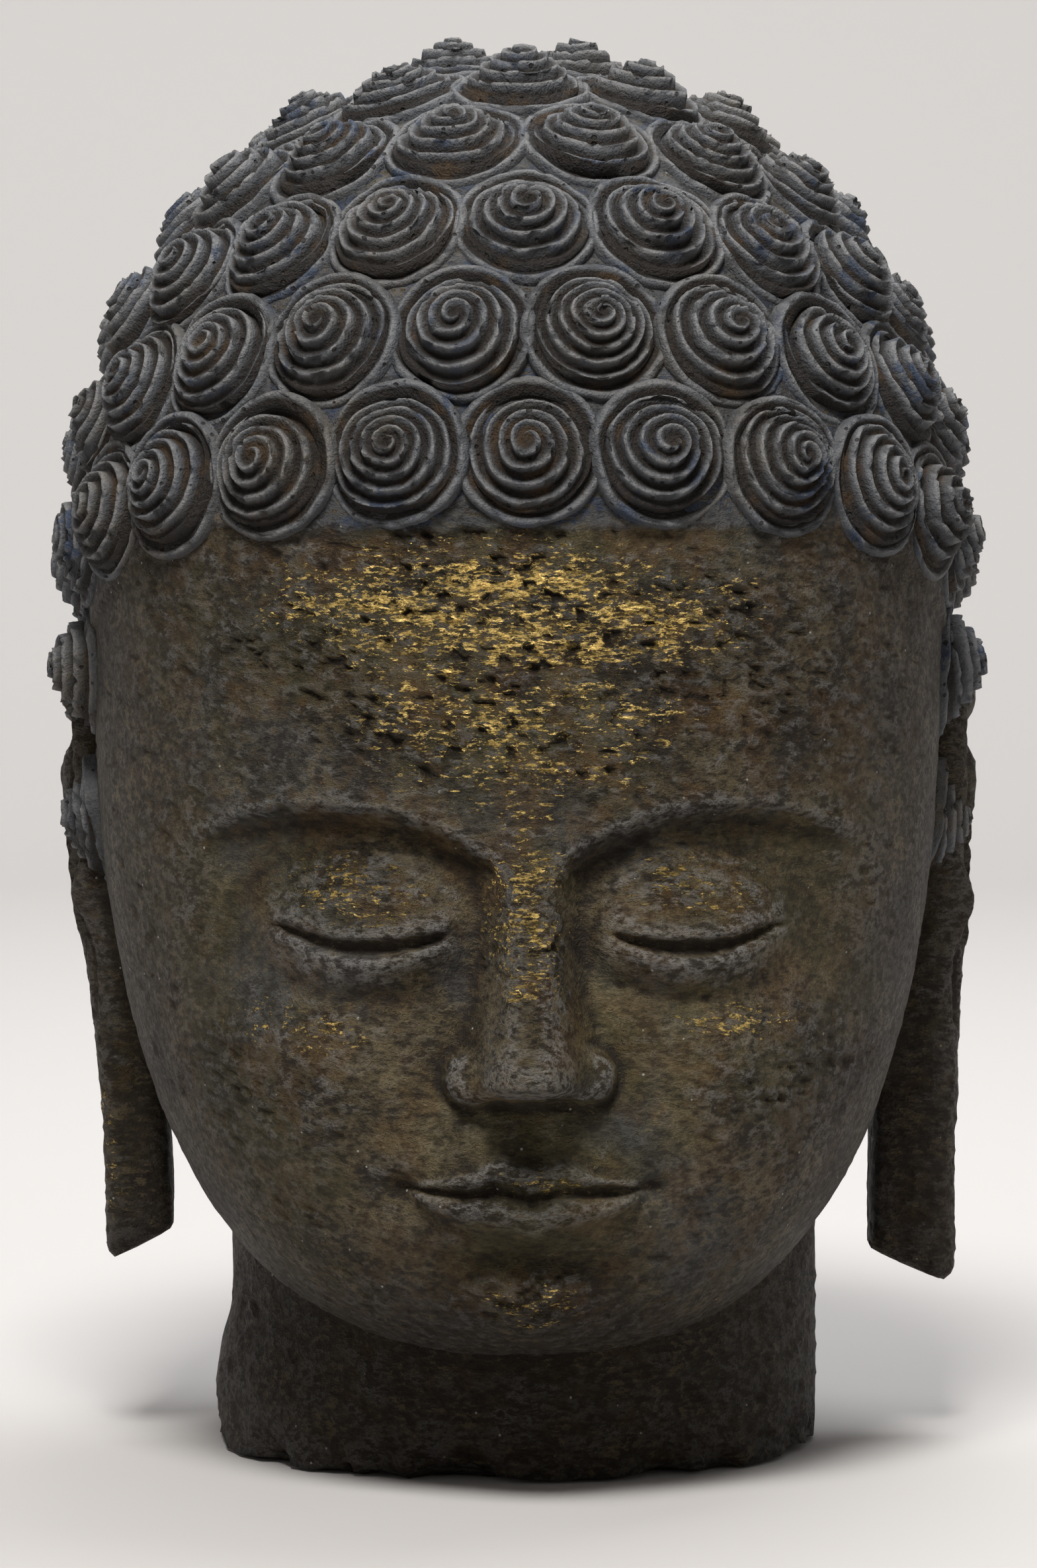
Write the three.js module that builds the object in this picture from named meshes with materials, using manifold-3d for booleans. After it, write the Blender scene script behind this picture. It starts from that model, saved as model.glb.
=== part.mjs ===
// The head of a Buddha, carved from one block of stone and cut flat through the neck. The origin is the
// middle of the cut face, the face looks along -Y, +X is the viewer's right and +Z is up. Millimetres.
//
// Every form is a sphere or a cylinder whose vertices are moved by a function, and the forms are joined
// into one closed solid. The face follows the old sculptors' canon: its height from hairline to chin is
// twelve parts, and the features are placed and shaped in those parts.

import * as THREE from 'three';
import { mergeVertices } from 'three/addons/utils/BufferGeometryUtils.js';
import Module from 'manifold-3d';

// Driving dimensions
const faceHeight = 248;
const faceWidth = 244;
const chinHeight = 42;
const skullCentre = new THREE.Vector3( 0, - 10, 280 );
const skullHalfWidth = 132.5;
const skullRise = 149;
const skullDrop = skullCentre.z - chinHeight + 2;
const skullFront = 140;
const skullBack = 148;
const jawForward = 35;
const neckHalfWidth = 94.5;
const neckHalfDepth = 88;
const neckHeight = 120;
const neckTaper = 0.055;
const hairThickness = 3;

// How far the coarse skull stays under the finer face that is set into it
const faceInset = 1.5;

// The hair's lower edge over the forehead, over the ears and at the nape
const hairlineFront = 293;
const hairlineSide = 258;
const hairlineNape = 128;

// The ears: outer faces, the free lobes' thickness and lower tips, and the bowl in front of the rim
const earTop = 246;
const earOut = 146;
const earInside = 90;
const lobes = {
	left: { tip: 55, out: 133.5, thickness: 24 },
	right: { tip: 47, out: 141.5, thickness: 29 },
};
const lobeSlant = 9;
const bowlHeight = 178;
const bowlHalfHeight = 19;
const bowlHalfDepth = 11;
const bowlCut = 9;

// The curls, in rows round a crown that leans back, the last rows only round the back
const curlSpacing = 40.6;
const curlCrowding = 1.03;
const curlHeight = 13.5;
const curlGap = 1;
const curlRoot = 6;
const fullRows = 6;
const napeRows = 3;
const napeStart = 88;
const napeStep = 12;
const crownLean = 14.5;

// The face in parts: twelve from the chin up to the hairline, and ten and a half across, so that an eye
// is 2.1 parts long and five eyes fit from side to side
const partUp = faceHeight / 12;
const partAcross = faceWidth / 10.5;
const partOut = ( partUp + partAcross ) / 2;
const browHeight = 8;
const eyeHeight = 6.5;
const eyeInner = 1.05;
const eyeOuter = 3.15;
const noseBase = 4;
const mouthHeight = noseBase * 2 / 3;
const mouthHalf = 1.55;

// How finely each form is divided
const faceColumns = 50;
const faceRows = 40;
const skullColumns = 22;
const skullRows = 14;
const curlSides = 6;

const wasm = await Module();
wasm.setup();

const { clamp, degToRad, lerp } = THREE.MathUtils;

// 0 at one value, 1 at the other, with a soft start and end
function ease( from, to, value ) {

	const t = clamp( ( value - from ) / ( to - from ), 0, 1 );
	return t * t * ( 3 - 2 * t );

}

// A round hump of height 1 that ends smoothly on an ellipse
function hump( x, z, centreX, centreZ, radiusX, radiusZ ) {

	const q = ( ( x - centreX ) / radiusX ) ** 2 + ( ( z - centreZ ) / radiusZ ) ** 2;
	return Math.max( 0, 1 - q ) ** 2;

}

// A soft line of height 1 along zero
function stroke( distance, width ) {

	return Math.exp( - ( ( distance / width ) ** 2 ) );

}

function arch( x, start, end ) {

	return Math.sin( Math.PI * clamp( ( x - start ) / ( end - start ), 0, 1 ) );

}

function softMax( a, b, blend ) {

	const h = clamp( 0.5 + 0.5 * ( a - b ) / blend, 0, 1 );
	return lerp( b, a, h ) + blend * h * ( 1 - h );

}

// --- The face: how far each feature stands out, in parts, at x from the middle and z from the chin ---

function nose( x, z ) {

	const bridge = browHeight - 0.6;
	const tip = noseBase + 0.52;
	const along = clamp( ( bridge - z ) / ( bridge - tip ), 0, 1 );
	const ridge = 0.30 + 0.95 * along ** 1.1;
	const underside = ease( noseBase - 0.10, noseBase + 0.34, z );
	const root = ease( browHeight + 0.9, browHeight - 0.9, z );
	const width = 0.46 + 0.30 * along ** 2 + 0.25 * ( 1 - along ) ** 5;
	const body = ridge * underside * root * ease( 1.42, 0.30, x / width );
	const ball = 0.20 * hump( x, z, 0, tip - 0.02, 0.80, 0.66 ) * underside;
	const dome = 1 - ( ( x - 0.64 ) / 0.50 ) ** 2 - ( ( z - noseBase - 0.36 ) / 0.50 ) ** 2;
	const wing = 0.56 * Math.max( 0, dome ) ** 0.55 * ease( noseBase - 0.14, noseBase + 0.12, z );
	return softMax( body + ball, wing, 0.26 ) - 0.065;

}

function browLine( x ) {

	return browHeight - 0.80 + 1.02 * arch( x, 0.20, 4.9 ) ** 0.75;

}

// A half-closed eye: the hollow under the brow, the full lids and the narrow opening between them
function eye( x, z ) {

	const below = browLine( x ) - z;
	const across = ease( 0.10, 0.8, x ) * ease( 4.7, 3.2, x );
	const hollow = 0.36 * ease( - 0.06, 0.34, below ) * ease( 3.4, 0.7, below ) * across;
	const q = 1 - ( ( x - 2.1 ) / 1.62 ) ** 2 - ( ( z - eyeHeight - 0.02 ) / 1.10 ) ** 2;
	const ball = 0.46 * ease( 0, 0.95, q ) ** 0.8;
	const bow = arch( x, eyeInner, eyeOuter );
	const along = ease( eyeInner - 0.10, eyeInner + 0.12, x ) * ease( eyeOuter + 0.25, eyeOuter - 0.05, x );
	const tail = 0.08 * ease( eyeOuter - 0.8, eyeOuter + 0.2, x );
	const upper = eyeHeight - 0.06 - 0.14 * bow + tail;
	const lower = eyeHeight - 0.10 - 0.30 * bow ** 0.8 + tail;
	const opening = ease( upper + 0.03, upper - 0.06, z ) * ease( lower - 0.10, lower + 0.03, z ) * along;
	const upperLid = ease( upper - 0.03, upper + 0.03, z ) * ease( upper + 0.42, upper + 0.08, z ) * along;
	const lowerLid = stroke( z - lower + 0.12, 0.10 ) * along;
	return ball - hollow - 0.13 * opening + 0.06 * upperLid + 0.03 * lowerLid;

}

function mouth( x, z ) {

	const muzzle = 0.34 * hump( x, z, 0, 2.75, 2.5, 1.9 );
	const reach = x / mouthHalf;
	const c = clamp( reach, 0, 1 );
	const seamHeight = mouthHeight + 0.10 * c ** 2 + 0.05 * stroke( x - 0.45, 0.28 );
	const top = seamHeight + 0.10 + 0.38 * ease( 1, 0.12, c ) + 0.05 * stroke( x - 0.34, 0.22 );
	const bottom = seamHeight - 0.10 - 0.50 * ( 1 - c ** 2.2 );
	const above = ( z - seamHeight ) / ( top - seamHeight );
	const below = ( seamHeight - z ) / ( seamHeight - bottom );
	const upperLip = above > 0 ? ease( 1.18, 0.72, above ) * lerp( 0.35, 1, ease( 0, 0.75, above ) ) : 0;
	const lowerLip = below >= 0 ? ease( 1.25, 0.50, below ) * lerp( 0.35, 1, ease( 0, 0.5, below ) ) : 0;
	const lips = ( 0.19 * upperLip + 0.24 * lowerLip ) * ease( 1.02, 0.84, reach ) * ( 1 - 0.35 * c ** 2 );
	const seam = 0.10 * stroke( z - seamHeight, 0.06 ) * ease( 1.12, 0.95, reach );
	const corner = 0.13 * stroke( Math.hypot( x - mouthHalf - 0.08, z - mouthHeight - 0.08 ), 0.22 );
	const philtrum = 0.06 * stroke( x, 0.15 ) * ease( 2.95, 3.35, z ) * ease( 4, 3.6, z );
	return muzzle + lips - seam - corner - philtrum;

}

function chin( x, z ) {

	const fold = 0.17 * stroke( z - 1.68, 0.28 ) * stroke( x, 1.05 );
	return 0.36 * hump( x, z, 0, 0.92, 1.35, 1.05 ) - fold;

}

function cheek( x, z ) {

	return 0.26 * hump( x, z, 2.7, 4.3, 2.0, 2.2 );

}

function faceRelief( x, z ) {

	const across = Math.abs( x ) / partAcross;
	const up = ( z - chinHeight ) / partUp;
	const features = [ nose, eye, mouth, chin, cheek ];
	return partOut * features.reduce( ( sum, feature ) => sum + feature( across, up ), 0 );

}

// --- The head: an egg with a level section at every height ---

// 1 at the widest level, 0 at the crown and under the chin: round above, fuller below by the given power
function fullness( t, power ) {

	const exponent = t > 0 ? 2 : power;
	return Math.max( 0, 1 - Math.abs( t ) ** exponent ) ** ( 1 / exponent );

}

// The level section at t, which runs from -1 under the chin to 1 at the crown
function section( t ) {

	return {
		centreY: skullCentre.y - ( t < 0 ? jawForward * Math.abs( t ) ** 3 : 0 ),
		halfWidth: skullHalfWidth * fullness( t, 2.75 ),
		front: skullFront * fullness( t, 3.8 ),
		back: skullBack * fullness( t, 2 ),
		squareness: 2 + 0.35 * ( t < 0 ? 1 : ease( 0.9, 0, t ) ),
	};

}

function level( t ) {

	return skullCentre.z + t * ( t > 0 ? skullRise : skullDrop );

}

// The point at an azimuth from the front round, on the level t, moved outward
function onHead( azimuth, t, outward = 0 ) {

	const { centreY, halfWidth, front, back, squareness } = section( t );
	const sin = Math.sin( azimuth );
	const cos = Math.cos( azimuth );
	const reach = ( Math.abs( sin ) ** squareness + Math.abs( cos ) ** squareness ) ** ( - 1 / squareness );
	const depth = cos > 0 ? front : back;
	const grow = ( size ) => Math.max( 0, size + outward * Math.sqrt( 1 - t * t ) );
	return new THREE.Vector3(
		grow( halfWidth ) * sin * reach,
		centreY - grow( depth ) * cos * reach,
		level( t ) + outward * t
	);

}

function isInsideHead( { x, y, z } ) {

	const t = ( z - skullCentre.z ) / ( z > skullCentre.z ? skullRise : skullDrop );
	if ( Math.abs( t ) >= 1 ) return false;
	const { centreY, halfWidth, front, back, squareness } = section( t );
	const depth = y < centreY ? front : back;
	return Math.abs( x / halfWidth ) ** squareness + Math.abs( ( y - centreY ) / depth ) ** squareness < 1;

}

// --- Making solids ---

function toSolid( geometry ) {

	geometry.deleteAttribute( 'normal' );
	geometry.deleteAttribute( 'uv' );
	const merged = mergeVertices( geometry );
	return {
		positions: merged.getAttribute( 'position' ).array,
		triangles: merged.getIndex().array,
	};

}

function joinable( { positions, triangles } ) {

	const mesh = new wasm.Mesh( {
		numProp: 3,
		vertProperties: new Float32Array( positions ),
		triVerts: new Uint32Array( triangles ),
	} );
	return new wasm.Manifold( mesh );

}

// A unit sphere with its poles up and down, each vertex moved by place( azimuth, height )
function mouldedSphere( columns, rows, place ) {

	const sphere = new THREE.SphereGeometry( 1, columns, rows ).rotateX( Math.PI / 2 );
	const { positions, triangles } = toSolid( sphere );
	const point = new THREE.Vector3();
	for ( let i = 0; i < positions.length; i += 3 ) {

		point.fromArray( positions, i );
		place( Math.atan2( point.x, - point.y ), clamp( point.z, - 1, 1 ) ).toArray( positions, i );

	}

	return joinable( { positions, triangles } );

}

// --- The pieces of the form ---

// The hair's lower edge at an azimuth: level over the forehead, down past the ears to the nape
function hairline( azimuth ) {

	const around = Math.abs( azimuth );
	const temple = lerp( hairlineFront, hairlineSide, ease( degToRad( 40 ), degToRad( 84 ), around ) );
	return lerp( temple, hairlineNape, ease( degToRad( 92 ), degToRad( 116 ), around ) );

}

function skull() {

	return mouldedSphere( skullColumns, skullRows, ( azimuth, height ) => {

		const isHair = level( height ) > hairline( azimuth );
		return onHead( azimuth, height, isHair ? hairThickness : - faceInset );

	} );

}

// The face is a finer shell set into the skull, closed at the back by one edge inside the head
function face() {

	const sides = degToRad( 97 );
	const lastFront = 1 - 2 / faceColumns;
	const top = hairlineFront + 20;
	return mouldedSphere( faceColumns, faceRows, ( azimuth, height ) => {

		const across = azimuth / Math.PI;
		const isBack = Math.abs( across ) > lastFront + 0.5 / faceColumns;
		const turn = isBack ? Math.PI : sides * lerp( across / lastFront, ( across / lastFront ) ** 3, 0.36 );
		const down = Math.acos( height ) / Math.PI;
		const rowHeight = lerp( top, chinHeight - 1.9, down ) - 9 * Math.sin( 2 * Math.PI * down );
		const t = ( rowHeight - skullCentre.z ) / ( rowHeight > skullCentre.z ? skullRise : skullDrop );
		const point = onHead( turn, Math.max( t, - 1 ) );
		if ( isBack ) point.set( 0, 20, point.z );
		else point.y -= faceRelief( point.x, point.z ) * ease( 0.1, 0.5, Math.cos( turn ) );
		if ( down < 0.001 ) point.set( 0, - 60, top );
		return point;

	} );

}

function neck() {

	const blank = new THREE.CylinderGeometry( 1, 1, neckHeight, 32, 3 ).rotateX( Math.PI / 2 );
	const { positions, triangles } = toSolid( blank.translate( 0, 0, neckHeight / 2 ) );
	for ( let i = 0; i < positions.length; i += 3 ) {

		const [ x, y, z ] = positions.slice( i, i + 3 );
		const flare = 1 - neckTaper * ease( 20, 50, z ) * ease( 0.4, - 0.9, x );
		positions[ i ] = x * neckHalfWidth * flare;
		positions[ i + 1 ] = y * neckHalfDepth;

	}

	return joinable( { positions, triangles } );

}

// A rounded square of half-size 1: its two coordinates at an angle
function roundedSquare( angle ) {

	const sin = Math.sin( angle );
	const cos = Math.cos( angle );
	const reach = ( sin ** 4 + cos ** 4 ) ** - 0.25;
	return [ sin * reach, cos * reach ];

}

// A long flat ear, set against the head above and hanging free as a slab of a lobe below. The azimuth
// turns the other way on the other side, so that both ears keep their faces outward.
function ear( side, lobe ) {

	return mouldedSphere( 12, 14, ( azimuth, height ) => {

		const s = 0.5 + Math.asin( height ) / Math.PI;
		const ends = Math.max( 0, 1 - Math.abs( 2 * s - 1 ) ** 9 ) ** ( 1 / 3 );
		const [ across, ahead ] = roundedSquare( side * azimuth );
		const halfDepth = lerp( 15, 27, ease( 0.15, 0.8, s ) ) * ends;
		const middle = lerp( 14, 19, ease( 0.2, 0.8, s ) );
		const outer = lerp( lobe.out, earOut, ease( 0.08, 0.95, s ) );
		const inner = lerp( outer - lobe.thickness, earInside, ease( 0.30, 0.5, s ) );
		const x = lerp( inner, outer, 0.5 + 0.5 * across * Math.min( 1, ends * 1.4 ) );
		const z = lerp( lobe.tip, earTop, s ) + lobeSlant * ( 0.5 - 0.5 * across ) * ( 1 - s ) ** 6;
		return new THREE.Vector3( side * x, middle - ahead * halfDepth, z );

	} );

}

function earBowl( side ) {

	return mouldedSphere( 8, 6, ( azimuth, height ) => {

		const around = Math.sqrt( 1 - height * height );
		return new THREE.Vector3(
			side * ( earOut - 1 ) + bowlCut * around * Math.sin( azimuth ),
			14 - bowlHalfDepth * around * Math.cos( azimuth ),
			bowlHeight + bowlHalfHeight * height
		);

	} );

}

// --- The curls: equally far apart in a row, and each row half a curl out of step with the next ---

function curlDirection( down, azimuth ) {

	const level = Math.sin( down );
	const direction = new THREE.Vector3();
	direction.set( level * Math.sin( azimuth ), - level * Math.cos( azimuth ), Math.cos( down ) );
	return direction.applyAxisAngle( new THREE.Vector3( 1, 0, 0 ), - degToRad( crownLean ) );

}

// The azimuths of the curls of a row, by equal steps over the scalp
function rowAzimuths( row, down ) {

	const samples = 180;
	const lengths = [ 0 ];
	let last = scalpPoint( curlDirection( down, 0 ) );
	for ( let i = 1; i <= samples; i ++ ) {

		const next = scalpPoint( curlDirection( down, i / samples * 2 * Math.PI ) );
		lengths.push( lengths[ i - 1 ] + next.distanceTo( last ) );
		last = next;

	}

	const count = Math.max( 1, Math.round( lengths[ samples ] * curlCrowding / curlSpacing ) );
	return Array.from( { length: count }, ( _, i ) => {

		const along = ( i + ( row % 2 ) / 2 ) / count * lengths[ samples ];
		const after = Math.max( 1, lengths.findIndex( ( length ) => length >= along ) );
		const between = ( along - lengths[ after - 1 ] ) / ( lengths[ after ] - lengths[ after - 1 ] || 1 );
		return ( after - 1 + between ) / samples * 2 * Math.PI;

	} );

}

function curlDirections() {

	const rowStep = curlSpacing / ( skullRise + curlHeight / 2 );
	const directions = [];
	for ( let row = 0; row <= fullRows + napeRows; row ++ ) {

		const down = row * rowStep;
		const corner = row > fullRows ? degToRad( napeStart + ( row - fullRows - 1 ) * napeStep ) : 0;
		for ( const azimuth of rowAzimuths( row, down ) ) {

			const fromFront = Math.min( azimuth, 2 * Math.PI - azimuth );
			if ( fromFront >= corner ) directions.push( curlDirection( down, azimuth ) );

		}

	}

	return directions;

}

// Where a ray from the skull's centre leaves the head
function scalpPoint( direction ) {

	let near = 0;
	let far = 2 * skullRise;
	while ( far - near > 0.01 ) {

		const middle = ( near + far ) / 2;
		if ( isInsideHead( skullCentre.clone().addScaledVector( direction, middle ) ) ) near = middle;
		else far = middle;

	}

	return skullCentre.clone().addScaledVector( direction, near );

}

function scalpNormal( point ) {

	const fromCentre = point.clone().sub( skullCentre );
	const depth = fromCentre.y < 0 ? skullFront : skullBack;
	const rise = fromCentre.z > 0 ? skullRise : skullDrop;
	return fromCentre.divide( new THREE.Vector3( skullHalfWidth ** 2, depth ** 2, rise ** 2 ) ).normalize();

}

// A low cone whose foot is sunk in the scalp
function curl( direction ) {

	const base = scalpPoint( direction );
	const normal = scalpNormal( base );
	const rise = curlHeight + hairThickness;
	const footRadius = ( curlSpacing / 2 - curlGap ) * ( rise + curlRoot ) / rise;
	const blank = new THREE.ConeGeometry( footRadius, rise + curlRoot, curlSides );
	const turned = new THREE.Quaternion().setFromUnitVectors( new THREE.Vector3( 0, 1, 0 ), normal );
	const middle = base.addScaledVector( normal, ( rise - curlRoot ) / 2 );
	blank.applyQuaternion( turned ).translate( middle.x, middle.y, middle.z );
	return joinable( toSolid( blank ) );

}

// --- The head ---

function carvedHead() {

	const ears = [ ear( - 1, lobes.left ), ear( 1, lobes.right ) ];
	const bowls = [ earBowl( - 1 ), earBowl( 1 ) ];
	const listened = ears.map( ( solid, i ) => solid.subtract( bowls[ i ] ) );
	const forms = [ skull(), face(), neck(), ...listened, ...curlDirections().map( curl ) ];
	const whole = forms.reduce( ( joined, form ) => joined.add( form ) );
	const { vertProperties, triVerts } = whole.getMesh();
	const geometry = new THREE.BufferGeometry();
	geometry.setAttribute( 'position', new THREE.BufferAttribute( vertProperties, 3 ) );
	geometry.setIndex( new THREE.BufferAttribute( triVerts, 1 ) );
	geometry.computeVertexNormals();
	return geometry;

}

const stone = new THREE.MeshStandardMaterial( { color: 0x59544d, roughness: 0.9, flatShading: true } );
const head = new THREE.Mesh( carvedHead(), stone );
head.name = 'buddha_head';

const object = new THREE.Group();
object.add( head );

export default object;
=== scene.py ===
"""A Buddha's head carved from one block of dark stone and cut flat through the neck.

The face looks along -Y and +Z is up. The head, neck and ears are spheres moved into shape by functions
and joined into one shell, and the curls are strips wound into snail shells. The face follows the
sculptors' canon: from hairline to chin it is twelve parts high, and the features are placed and shaped
in those parts.
"""

import math
import random

import bmesh
import bpy
import numpy as np
from mathutils import Matrix, Vector, noise


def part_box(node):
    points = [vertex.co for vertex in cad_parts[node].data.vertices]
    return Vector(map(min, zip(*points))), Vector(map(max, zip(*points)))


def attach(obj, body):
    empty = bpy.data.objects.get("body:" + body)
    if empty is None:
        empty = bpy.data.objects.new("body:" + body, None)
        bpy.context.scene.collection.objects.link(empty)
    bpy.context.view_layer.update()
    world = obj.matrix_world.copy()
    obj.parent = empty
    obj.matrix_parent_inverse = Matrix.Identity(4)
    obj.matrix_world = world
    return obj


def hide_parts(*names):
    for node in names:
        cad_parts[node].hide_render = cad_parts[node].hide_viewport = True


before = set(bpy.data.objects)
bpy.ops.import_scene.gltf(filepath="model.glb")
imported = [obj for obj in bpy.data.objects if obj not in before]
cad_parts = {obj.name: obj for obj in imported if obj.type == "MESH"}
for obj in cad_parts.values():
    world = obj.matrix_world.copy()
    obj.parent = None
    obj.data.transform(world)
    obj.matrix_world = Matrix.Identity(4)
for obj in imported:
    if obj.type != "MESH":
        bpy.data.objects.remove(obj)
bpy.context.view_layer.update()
NODE = "buddha_head"
LOW, HIGH = (Vector(corner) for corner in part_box(NODE))

bl_info = {
    "name": "Stone Buddha Head",
    "version": (1, 0, 0),
    "blender": (4, 5, 0),
    "location": "View3D > Sidebar > Buddha Head",
    "description": "Carves a weathered stone Buddha head with spiral curls, and sets its stage",
    "category": "Add Mesh",
}

MM = 0.001

# The canon, in parts up from the chin and out from the middle
PARTS_HIGH = 12
PARTS_WIDE = 10.5
BROW = 8.0
EYE_LINE = 6.5
EYE_INNER = 1.05
EYE_OUTER = 3.15
NOSE_BASE = 4.0
MOUTH = NOSE_BASE * 2 / 3
MOUTH_HALF = 1.55


class HeadShape(bpy.types.PropertyGroup):
    face_height: bpy.props.FloatProperty(
        name="Face height", description="From the hairline to the chin", default=0.248, unit="LENGTH"
    )
    face_width: bpy.props.FloatProperty(
        name="Face width", description="Five eyes, from ear to ear", default=0.244, unit="LENGTH"
    )
    chin: bpy.props.FloatProperty(
        name="Chin", description="Height of the chin over the cut neck", default=0.042, unit="LENGTH"
    )
    skull_height: bpy.props.FloatProperty(
        name="Skull height", description="Level where the head is widest", default=0.280, unit="LENGTH"
    )
    skull_y: bpy.props.FloatProperty(
        name="Skull offset", description="The skull's middle in front of the neck's", default=-0.010,
        unit="LENGTH",
    )
    half_width: bpy.props.FloatProperty(
        name="Half width", description="Of the skull, under the curls", default=0.1325, unit="LENGTH"
    )
    rise: bpy.props.FloatProperty(
        name="Rise", description="From the widest level to the crown", default=0.149, unit="LENGTH"
    )
    front: bpy.props.FloatProperty(
        name="Front", description="From the skull's middle to the forehead", default=0.140, unit="LENGTH"
    )
    back: bpy.props.FloatProperty(
        name="Back", description="From the skull's middle to its back", default=0.148, unit="LENGTH"
    )
    neck_half_width: bpy.props.FloatProperty(
        name="Neck half width", description="At the cut", default=0.0945, unit="LENGTH"
    )
    neck_half_depth: bpy.props.FloatProperty(
        name="Neck half depth", description="At the cut", default=0.088, unit="LENGTH"
    )
    ear_top: bpy.props.FloatProperty(
        name="Ear top", description="Height of the ears' upper rim", default=0.246, unit="LENGTH"
    )
    left_lobe: bpy.props.FloatProperty(
        name="Left lobe", description="Height of the tip on the viewer's left", default=0.055,
        unit="LENGTH",
    )
    right_lobe: bpy.props.FloatProperty(
        name="Right lobe", description="Height of the tip on the viewer's right", default=0.047,
        unit="LENGTH",
    )


class CurlShape(bpy.types.PropertyGroup):
    spacing: bpy.props.FloatProperty(
        name="Spacing", description="From one row to the next", default=0.0406, unit="LENGTH"
    )
    radius: bpy.props.FloatProperty(
        name="Radius", description="Of the wound part", default=0.0186, unit="LENGTH"
    )
    rim: bpy.props.FloatProperty(
        name="Rim", description="Radius of the thin raised line round each curl", default=0.0204,
        unit="LENGTH",
    )
    height: bpy.props.FloatProperty(
        name="Height", description="Of the tip over the scalp", default=0.0130, unit="LENGTH"
    )
    pitch: bpy.props.FloatProperty(
        name="Pitch", description="From one turn of the spiral to the next", default=0.0038,
        unit="LENGTH",
    )
    lean: bpy.props.FloatProperty(
        name="Lean", description="Of the rows, backward", default=math.radians(14.5), subtype="ANGLE"
    )
    seed: bpy.props.IntProperty(name="Seed", description="Of the wear and the turns", default=7)


class StoneColours(bpy.types.PropertyGroup):
    stone: bpy.props.FloatVectorProperty(
        name="Stone", description="The bare rubbed surface", default=(0.067, 0.052, 0.028),
        subtype="COLOR", size=3,
    )
    # Deep colours the dirty pits and is also painted shade in the hollows, on the sides and neck, on the
    # sunken fine relief and in the curls' grooves.
    deep: bpy.props.FloatVectorProperty(
        name="Deep", description="Dirt in pits and grooves", default=(0.014, 0.010, 0.007),
        subtype="COLOR", size=3,
    )
    dust: bpy.props.FloatVectorProperty(
        name="Dust", description="Pale dust on edges and upward faces", default=(0.205, 0.203, 0.203),
        subtype="COLOR", size=3,
    )
    ochre: bpy.props.FloatVectorProperty(
        name="Ochre", description="Old varnish and earth stains", default=(0.100, 0.055, 0.018),
        subtype="COLOR", size=3,
    )
    gold: bpy.props.FloatVectorProperty(
        name="Gold", description="The remains of gilding", default=(0.47, 0.34, 0.12),
        subtype="COLOR", size=3,
    )
    olive: bpy.props.FloatVectorProperty(
        name="Olive", description="Greenish patina in broad patches", default=(0.054, 0.047, 0.018),
        subtype="COLOR", size=3,
    )
    cool: bpy.props.FloatVectorProperty(
        name="Cool", description="Smooth bluish grey where the stone was least exposed",
        default=(0.110, 0.119, 0.134), subtype="COLOR", size=3,
    )
    blue: bpy.props.FloatVectorProperty(
        name="Blue", description="The remains of paint on the hair", default=(0.030, 0.050, 0.095),
        subtype="COLOR", size=3,
    )


# --- Soft numbers, for single values and numpy arrays alike ---


def clamp(value):
    return np.clip(value, 0.0, 1.0)


def ease(start, end, value):
    """0 at start, 1 at end, with a soft foot and shoulder; start may be above end."""
    t = clamp((value - start) / (end - start))
    return t * t * (3 - 2 * t)


def lerp(a, b, t):
    return a + (b - a) * t


def hump(x, z, centre_x, centre_z, radius_x, radius_z):
    """A round hump of height 1 that ends smoothly on an ellipse."""
    q = ((x - centre_x) / radius_x) ** 2 + ((z - centre_z) / radius_z) ** 2
    return clamp(1 - q) ** 2


def stroke(distance, width):
    """A soft line of height 1 along zero."""
    return np.exp(-((distance / width) ** 2))


def arch(x, start, end):
    return np.sin(math.pi * clamp((x - start) / (end - start)))


def soft_max(a, b, blend):
    h = clamp(0.5 + 0.5 * (a - b) / blend)
    return lerp(b, a, h) + blend * h * (1 - h)


# --- The face: how far each feature stands out, in parts, at x from the middle and z over the chin ---


def nose(x, z):
    bridge = BROW - 0.6
    tip = NOSE_BASE + 0.52
    along = clamp((bridge - z) / (bridge - tip))
    ridge = 0.30 + 0.95 * along**1.1
    underside = ease(NOSE_BASE - 0.10, NOSE_BASE + 0.34, z)
    root = ease(BROW + 0.9, BROW - 0.9, z)
    width = 0.46 + 0.30 * along**2 + 0.25 * (1 - along) ** 5
    body = ridge * underside * root * ease(1.42, 0.30, x / width)
    ball = 0.20 * hump(x, z, 0, tip - 0.02, 0.80, 0.66) * underside
    dome = clamp(1 - ((x - 0.64) / 0.50) ** 2 - ((z - NOSE_BASE - 0.36) / 0.50) ** 2)
    wing = 0.56 * dome**0.55 * ease(NOSE_BASE - 0.14, NOSE_BASE + 0.12, z)
    crease = 0.05 * stroke(np.hypot(x - 0.62, z - NOSE_BASE - 0.36) - 0.50, 0.07) * ease(0.55, 0.8, x)
    nostril = 0.14 * hump(x, z, 0.40, NOSE_BASE + 0.02, 0.26, 0.15)
    return soft_max(body + ball, wing, 0.26) - 0.065 - nostril - crease


def brow_line(x):
    return BROW - 0.80 + 1.02 * arch(x, 0.20, 4.9) ** 0.75


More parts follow.
